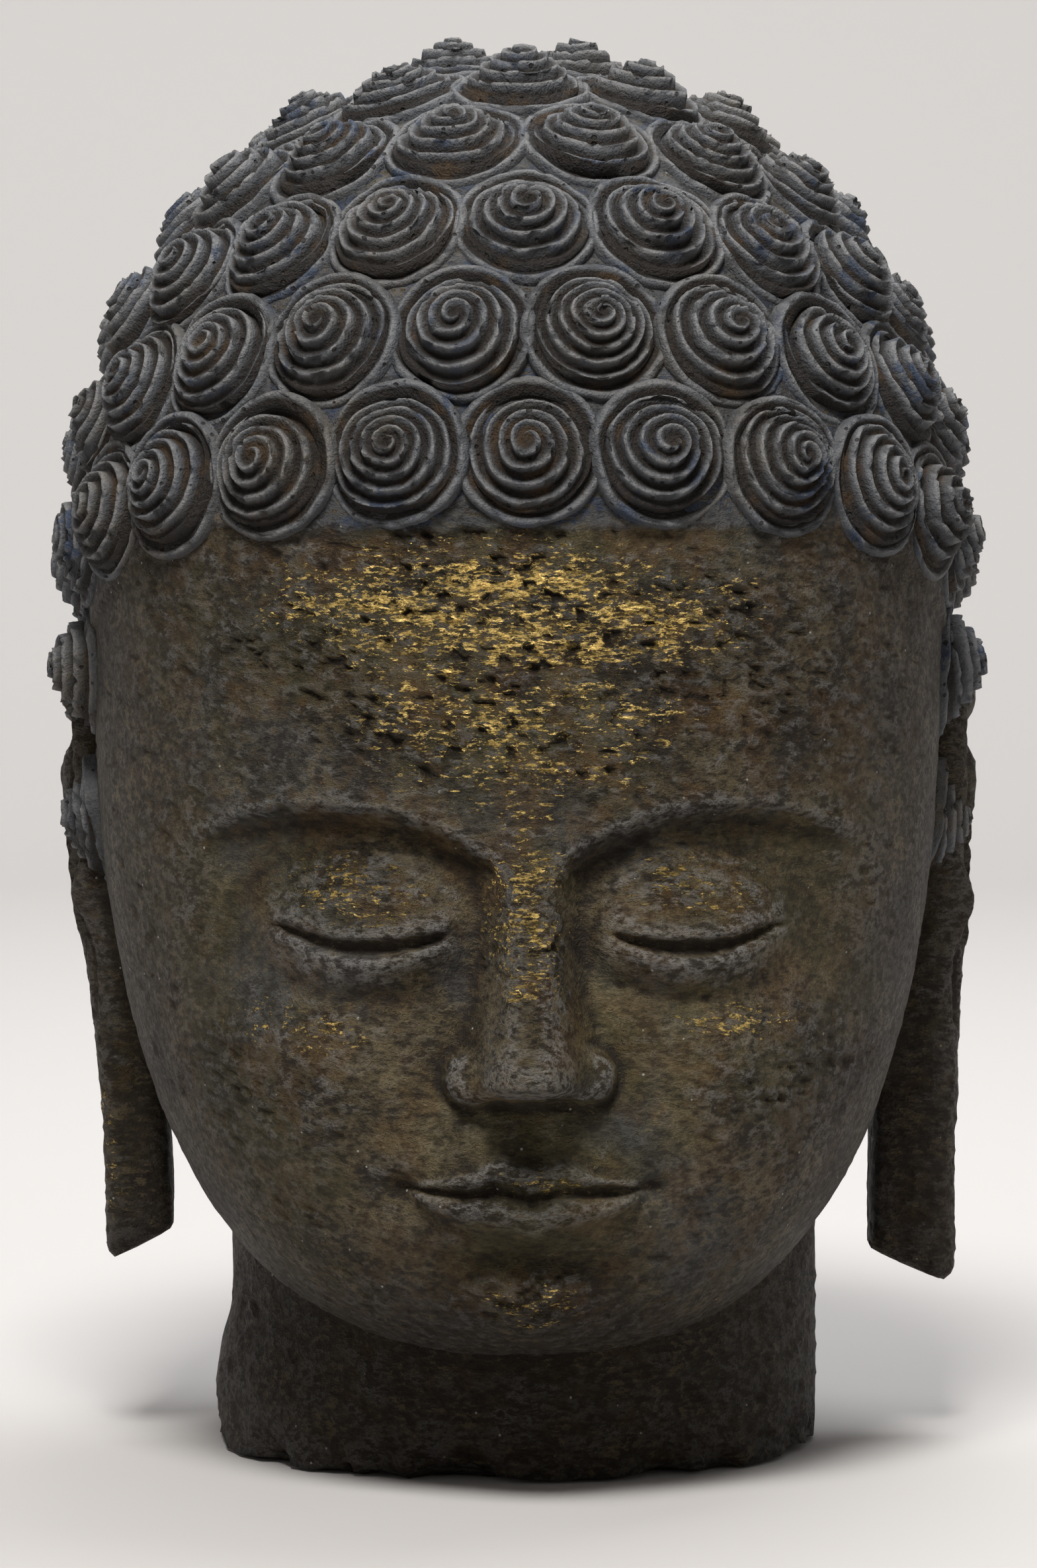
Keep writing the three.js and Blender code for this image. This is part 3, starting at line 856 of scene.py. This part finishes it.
class CarveCurls(bpy.types.Operator):
    """Carve the curls over the skull in rows, in four pieces"""

    bl_idname = "buddha.carve_curls"
    bl_label = "Carve Curls"

    def execute(self, context):
        scene = context.scene
        curls = scene.buddha_curls
        shape = scene.buddha_head
        skull = Skull(shape)
        rng = random.Random(curls.seed)
        lift = 0.9 * MM
        patterns = [
            CurlPattern(curls, curls.pitch * stretch, depth * MM)
            for stretch, depth in ((1.0, 1.3), (0.92, 1.1), (1.10, 1.5), (0.96, 1.2), (1.05, 1.5))
        ]
        socket = socket_pattern(curls)
        quarters = {"curls_front": [], "curls_left": [], "curls_right": [], "curls_back": []}
        for direction in curl_directions(shape, skull, curls):
            base = skull.scalp(direction)
            normal = skull.normal(base)
            side = math.atan2(base.x, -(base.y - skull.centre.y))
            if abs(side) < math.pi / 4:
                name = "curls_front"
            elif abs(side) > math.pi * 3 / 4:
                name = "curls_back"
            else:
                name = "curls_right" if side > 0 else "curls_left"
            quarters[name].append((base + normal * lift, normal))
        material = hair_material(scene.stone_colours)
        for name, places in quarters.items():
            piece = curl_piece(name, patterns, socket, places, rng)
            wear_curls(piece.data, curls.seed)
            piece.data.materials.append(material)
            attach(piece, "root")
        for mesh in [pattern.mesh for pattern in patterns] + [socket]:
            bpy.data.meshes.remove(mesh)
        return {"FINISHED"}


# --- Materials ---


class Number:
    """A number on a socket, for use in Python expressions."""

    def __init__(self, shader, socket):
        self.shader = shader
        self.socket = socket

    def __add__(self, other):
        return self.shader.maths("ADD", self, other)

    __radd__ = __add__

    def __sub__(self, other):
        return self.shader.maths("SUBTRACT", self, other)

    def __rsub__(self, other):
        return self.shader.maths("SUBTRACT", other, self)

    def __mul__(self, other):
        return self.shader.maths("MULTIPLY", self, other)

    __rmul__ = __mul__


class Shader:
    """A material's nodes, made one by one from expressions."""

    def __init__(self, name):
        self.material = bpy.data.materials.new(name)
        self.material.use_nodes = True
        self.tree = self.material.node_tree
        self.tree.nodes.clear()
        self.place = self.node("ShaderNodeTexCoord").outputs["Object"]

    def node(self, kind, settings=None, inputs=None):
        """Any node: its type, its settings, and the values or links of its sockets."""
        node = self.tree.nodes.new(kind)
        for key, value in (settings or {}).items():
            setattr(node, key, value)
        for key, value in (inputs or {}).items():
            value = value.socket if isinstance(value, Number) else value
            if isinstance(value, bpy.types.NodeSocket):
                self.tree.links.new(value, node.inputs[key])
            else:
                node.inputs[key].default_value = value
        return node

    def maths(self, operation, *values):
        node = self.node("ShaderNodeMath", {"operation": operation}, dict(enumerate(values)))
        return Number(self, node.outputs[0])

    def ease(self, start, end, value):
        """0 at start, 1 at end, with a soft foot and shoulder; start may be above end."""
        low, high, out = (start, end, (0.0, 1.0)) if start < end else (end, start, (1.0, 0.0))
        inputs = {"Value": value, "From Min": low, "From Max": high, "To Min": out[0], "To Max": out[1]}
        node = self.node("ShaderNodeMapRange", {"interpolation_type": "SMOOTHSTEP"}, inputs)
        return Number(self, node.outputs["Result"])

    def blend(self, amount, below, above):
        """A colour mixed over another by an amount."""
        colours = {6: (*below, 1.0) if isinstance(below, tuple) else below}
        colours[7] = (*above, 1.0) if isinstance(above, tuple) else above
        settings = {"data_type": "RGBA", "clamp_factor": True}
        return self.node("ShaderNodeMix", settings, {0: amount, **colours}).outputs[2]

    def attribute(self, name):
        return Number(self, self.node("ShaderNodeAttribute", {"attribute_name": name}).outputs["Fac"])

    def stretched(self, scale, offset=(0.0, 0.0, 0.0)):
        inputs = {"Vector": self.place, "Scale": scale, "Location": offset}
        return self.node("ShaderNodeMapping", None, inputs).outputs["Vector"]

    def noise(self, size, detail=3.0, rough=0.55, place=None):
        """Noise with lumps of a size in metres."""
        inputs = {"Vector": place or self.place, "Scale": 1 / size, "Detail": detail, "Roughness": rough}
        return Number(self, self.node("ShaderNodeTexNoise", None, inputs).outputs["Fac"])

    def cells(self, size):
        """How far the surface is from the middle of its cell, and a number of the cell's own."""
        node = self.node("ShaderNodeTexVoronoi", None, {"Vector": self.place, "Scale": 1 / size})
        own = self.node("ShaderNodeSeparateColor", None, {"Color": node.outputs["Color"]})
        return Number(self, node.outputs["Distance"]), Number(self, own.outputs[0])

    def upward(self):
        """1 where the surface faces up, 0 where it is upright."""
        normal = self.node("ShaderNodeNewGeometry").outputs["Normal"]
        z = self.node("ShaderNodeSeparateXYZ", None, {"Vector": normal}).outputs["Z"]
        return self.ease(-0.1, 0.95, Number(self, z))

    def finish(self, colour, metallic, roughness, height):
        """A stone surface with a relief in millimetres."""
        bump = self.node("ShaderNodeBump", None, {"Strength": 1.0, "Distance": MM, "Height": height})
        inputs = {
            "Base Color": colour,
            "Metallic": metallic,
            "Roughness": roughness,
            "Specular IOR Level": 0.2,
            "Normal": bump.outputs["Normal"],
        }
        surface = self.node("ShaderNodeBsdfPrincipled", None, inputs)
        self.node("ShaderNodeOutputMaterial", None, {"Surface": surface.outputs[0]})
        return self.material


def shade(colour, amount):
    return tuple(part * amount for part in colour)


def stone_material(colours):
    """Pitted stone with earth stains, and gold leaf left on what stands out; it also carries painted
    shade in the hollows and over the jaw, sides, ears and neck, painted shade and highlight on the fine
    relief, and painted glints on the gold.
    """
    s = Shader("weathered stone")
    hollow = s.attribute("hollow")
    pitted = s.attribute("pitted")
    gilt = s.attribute("gilt")
    hair = s.attribute("hair")
    flat = s.stretched((0.6, 1.0, 1.2))
    broad = s.noise(0.070, 3)
    cool = s.noise(0.052, 3, 0.5, s.stretched((1.0, 1.0, 1.0), (0.31, 0.12, 0.47)))
    mottle = s.noise(0.017, 5, 0.65)
    fine = s.noise(0.0026, 5, 0.75, flat)
    grain = s.noise(0.0009, 3, 0.70)
    own_pits = s.ease(0.61, 0.67, s.noise(0.0026, 3, 0.6, flat) + 0.06 * pitted)
    bitten = s.ease(0.45, 0.80, s.attribute("pit") + 0.9 * fine - 0.42)
    pits = s.maths("MAXIMUM", bitten, own_pits)
    rough = 1.8 + 4.2 * pitted
    height = rough * fine + (1.0 + 2.2 * pitted) * grain - 1.1 * pits
    crumb = 0.35 * mottle + 0.65 * fine
    tone = s.ease(0.37, 0.63, crumb)
    rubbed = s.blend(tone, shade(colours.stone, 0.28), shade(colours.stone, 1.45))
    olive = s.blend(s.ease(0.44, 0.60, broad) * 0.8, rubbed, tuple(colours.olive))
    coolness = s.ease(0.50, 0.64, cool) * 0.6 * (1 - 0.8 * pitted)
    cooled = s.blend(coolness, olive, shade(colours.cool, 0.43))
    dusted = s.blend(s.upward() * s.ease(0.40, 0.65, mottle) * 0.22, cooled, tuple(colours.dust))
    stain = s.ease(0.47, 0.60, s.noise(0.021, 4, 0.72)) * (0.40 + 0.6 * pitted)
    stained = s.blend(stain * 0.85, dusted, tuple(colours.ochre))
    rubbing = s.ease(0.0, -0.5, hollow) * s.ease(0.40, 0.62, fine) * 0.7
    worn = s.blend(rubbing, stained, tuple(colours.dust))
    painted = s.blend(hair * 0.75, worn, shade(colours.cool, 0.62))
    paint = s.ease(0.50, 0.60, s.noise(0.011, 5, 0.65)) * hair
    blued = s.blend(paint * 0.7, painted, tuple(colours.blue))
    # Painted shade in the hollows and creases of the carving, in the deep colour.
    shaded = s.blend(s.ease(0.05, 1.0, hollow) * 0.80, blued, tuple(colours.deep))
    dirty = s.blend(pits * 0.70, shaded, tuple(colours.deep))
    # Painted shade over the jaw, the sides, the ears and the neck, broken up by the mottle.
    painted_shade = s.attribute("painted_shade") * (0.45 + 0.6 * s.ease(0.35, 0.62, mottle))
    with_painted_shade = s.blend(painted_shade, dirty, shade(colours.deep, 1.5))
    # Painted shade where the fine relief sinks and a painted highlight where it rises, over a random
    # tone.
    shaded_grain = s.blend(s.ease(0.51, 0.42, crumb) * (0.60 + 0.15 * pitted), with_painted_shade, shade(colours.deep, 1.2))
    lit_grain = s.blend(s.ease(0.52, 0.60, crumb) * 0.42, shaded_grain, shade(colours.stone, 2.7))
    away, own = s.cells(0.0024)
    specks = s.ease(0.20, 0.12, away) * s.ease(0.975, 0.980, own)
    specked = s.blend(specks * 0.7, lit_grain, (0.42, 0.41, 0.38))
    crinkled = s.stretched((0.45, 1.0, 1.5))
    leaf = s.noise(0.010, 4, 0.70, crinkled)
    torn = s.noise(0.0019, 4, 0.75, crinkled)
    cover = 0.34 * leaf + 0.66 * torn + 0.125 * gilt
    gold = s.ease(0.595, 0.640, cover) * (1 - pits) * s.ease(0.05, 0.35, gilt)
    creases = s.noise(0.0013, 4, 0.80, crinkled)
    # Painted glints: the gold leaf is lighter on the crests of its crinkles and darker between them.
    glints = s.ease(0.38, 0.62, creases)
    leaf_colour = s.blend(glints, shade(colours.gold, 0.28), shade(colours.gold, 2.0))
    gilded = s.blend(gold, specked, leaf_colour)
    bumps = height + 5.0 * gold * creases
    return s.finish(gilded, gold * 0.85, 0.66 - 0.16 * tone - 0.14 * gold, bumps)


def hair_material(colours):
    """Darker stone with dust and a painted highlight on the lips, the grooves dirty and darkened with
    painted shade, and a little blue paint.
    """
    s = Shader("stone of the curls")
    low = s.attribute("low")
    broad = s.noise(0.045, 3)
    mottle = s.noise(0.011, 4, 0.6)
    fine = s.noise(0.0024, 5, 0.65)
    grain = s.noise(0.0007, 3, 0.6)
    away, own = s.cells(0.0030)
    pits = s.ease(0.0, 0.12, 0.30 * s.ease(0.70, 1.0, own) + 0.08 * fine - away)
    tone = s.ease(0.32, 0.68, 0.5 * mottle + 0.5 * fine)
    greyness = s.ease(0.30, 0.55, broad) * 0.9
    plain = s.blend(greyness, shade(colours.stone, 1.7), shade(colours.cool, 1.35))
    rubbed = s.blend(tone * 0.8, shade(colours.cool, 0.64), plain)
    pale = shade(colours.dust, 1.2)
    dusted = s.blend(s.upward() * s.ease(0.3, 0.6, mottle) * 0.40, rubbed, pale)
    # Pale dust and a painted highlight on the lips, which are lighter than the slopes below them.
    worn = s.blend(s.ease(0.38, 0.06, low) * s.ease(0.30, 0.55, fine) * 0.8, dusted, pale)
    paint = s.ease(0.54, 0.62, s.noise(0.013, 5, 0.65)) * s.ease(0.44, 0.60, broad)
    painted = s.blend(paint * 0.8, worn, tuple(colours.blue))
    # Dirty deposits and painted shade in the grooves: the lower a point lies between the lips, the
    # darker it gets.
    dirt_and_shade = s.ease(0.25, 0.85, low + 0.45 * fine - 0.22)
    shaded = s.blend(dirt_and_shade * 0.90, painted, tuple(colours.deep))
    rust = s.ease(0.52, 0.66, s.noise(0.016, 4, 0.6)) * s.ease(0.4, 0.9, low)
    rusty = s.blend(rust * 0.35, shaded, tuple(colours.ochre))
    dirty = s.blend(pits * 0.8, rusty, tuple(colours.deep))
    height = 3.0 * fine + 1.1 * grain - 1.2 * pits
    return s.finish(dirty, 0.0, 0.56, height)


def floor_material():
    """Pale and plain inside, and clear from outside, so that it never stands in the way."""
    s = Shader("pale backdrop")
    paint = s.node("ShaderNodeBsdfDiffuse", None, {"Color": (0.50, 0.485, 0.475, 1.0)})
    clear = s.node("ShaderNodeBsdfTransparent")
    outside = s.node("ShaderNodeNewGeometry").outputs["Backfacing"]
    sides = {0: outside, 1: paint.outputs[0], 2: clear.outputs[0]}
    surface = s.node("ShaderNodeMixShader", None, sides)
    s.node("ShaderNodeOutputMaterial", None, {"Surface": surface.outputs[0]})
    return s.material


# --- The stage ---


def aim(thing, target):
    thing.rotation_euler = (target - thing.location).to_track_quat("-Z", "Y").to_euler()


def add_light(name, place, target, size, power, colour):
    lamp = bpy.data.lights.new(name, "AREA")
    lamp.shape = "SQUARE"
    lamp.size = size
    lamp.energy = power
    lamp.color = colour
    light = bpy.data.objects.new(name, lamp)
    light.location = place
    bpy.context.scene.collection.objects.link(light)
    aim(light, target)


def floor_mesh():
    """A round floor that curves up into a wall all the way round."""
    flat, curve, height = 2.1, 0.9, 2.8
    bends = 12
    outline = [(0.0, 0.0), (0.4, 0.0), (1.0, 0.0), (flat, 0.0)]
    for step in range(1, bends + 1):
        swing = step / bends * math.pi / 2
        outline.append((flat + curve * math.sin(swing), curve * (1 - math.cos(swing))))
    outline.append((flat + curve, height))
    bm = bmesh.new()
    verts = [bm.verts.new((radius, 0, z)) for radius, z in outline]
    for one, other in zip(verts, verts[1:]):
        bm.edges.new((one, other))
    spin_round(bm, 72)
    bmesh.ops.remove_doubles(bm, verts=bm.verts, dist=MM)
    bm.faces.ensure_lookup_table()
    lowest = min(bm.faces, key=lambda face: face.calc_center_median().length)
    if lowest.normal.z < 0:
        bmesh.ops.reverse_faces(bm, faces=bm.faces)
    return to_mesh(bm, "floor")


class LayStage(bpy.types.Operator):
    """Lay the pale floor, hang the soft lights and set the camera"""

    bl_idname = "buddha.lay_stage"
    bl_label = "Lay Stage"

    def execute(self, context):
        scene = context.scene
        floor = to_object(floor_mesh(), "floor")
        floor.data.materials.append(floor_material())
        middle = (LOW + HIGH) / 2 + Vector((0.5, 3.99, -13.24)) * MM
        wall = Vector((0.0, 3.0, 0.7))
        add_light("key", Vector((-0.20, -1.35, 2.15)), middle, 0.65, 76, (1.0, 0.98, 0.95))
        add_light("top", Vector((0.35, 0.50, 1.9)), middle, 1.0, 20, (0.95, 0.97, 1.0))
        add_light("wall wash", Vector((0.0, 1.0, 2.4)), wall, 1.4, 54, (1.0, 1.0, 1.0))
        world = bpy.data.worlds.new("studio")
        scene.world = world
        world.use_nodes = True
        background = world.node_tree.nodes["Background"]
        background.inputs["Color"].default_value = (0.86, 0.85, 0.84, 1.0)
        background.inputs["Strength"].default_value = 0.12
        camera = bpy.data.cameras.new("camera")
        camera.sensor_fit = "VERTICAL"
        camera.sensor_height = 36.0
        camera.lens = 161.0
        seat = bpy.data.objects.new("camera", camera)
        scene.collection.objects.link(seat)
        azimuth, elevation, distance = math.radians(-1.5), math.radians(4.0), 2.2
        level = math.cos(elevation)
        outward = Vector((math.sin(azimuth) * level, -math.cos(azimuth) * level, math.sin(elevation)))
        seat.location = middle + outward * distance
        aim(seat, middle)
        scene.camera = seat
        scene.view_settings.view_transform = "Standard"
        return {"FINISHED"}


class BuddhaPanel(bpy.types.Panel):
    """Lists the head's sizes and the operators"""

    bl_idname = "VIEW3D_PT_buddha_head"
    bl_label = "Stone Buddha Head"
    bl_space_type = "VIEW_3D"
    bl_region_type = "UI"
    bl_category = "Buddha Head"

    def draw(self, context):
        for group in SETTINGS:
            settings = getattr(context.scene, group)
            box = self.layout.box()
            for name in settings.__annotations__:
                box.prop(settings, name)
        for operator in OPERATORS:
            self.layout.operator(operator.bl_idname)


OPERATORS = (CarveHead, CarveCurls, LayStage)
SETTINGS = {"buddha_head": HeadShape, "buddha_curls": CurlShape, "stone_colours": StoneColours}


def register():
    for group in SETTINGS.values():
        bpy.utils.register_class(group)
    for name, group in SETTINGS.items():
        setattr(bpy.types.Scene, name, bpy.props.PointerProperty(type=group))
    for operator in OPERATORS:
        bpy.utils.register_class(operator)
    bpy.utils.register_class(BuddhaPanel)


def unregister():
    bpy.utils.unregister_class(BuddhaPanel)
    for operator in reversed(OPERATORS):
        bpy.utils.unregister_class(operator)
    for name in SETTINGS:
        delattr(bpy.types.Scene, name)
    for group in reversed(SETTINGS.values()):
        bpy.utils.unregister_class(group)


def main():
    register()
    bpy.ops.buddha.carve_head()
    bpy.ops.buddha.carve_curls()
    bpy.ops.buddha.lay_stage()


if __name__ == "__main__":
    main()
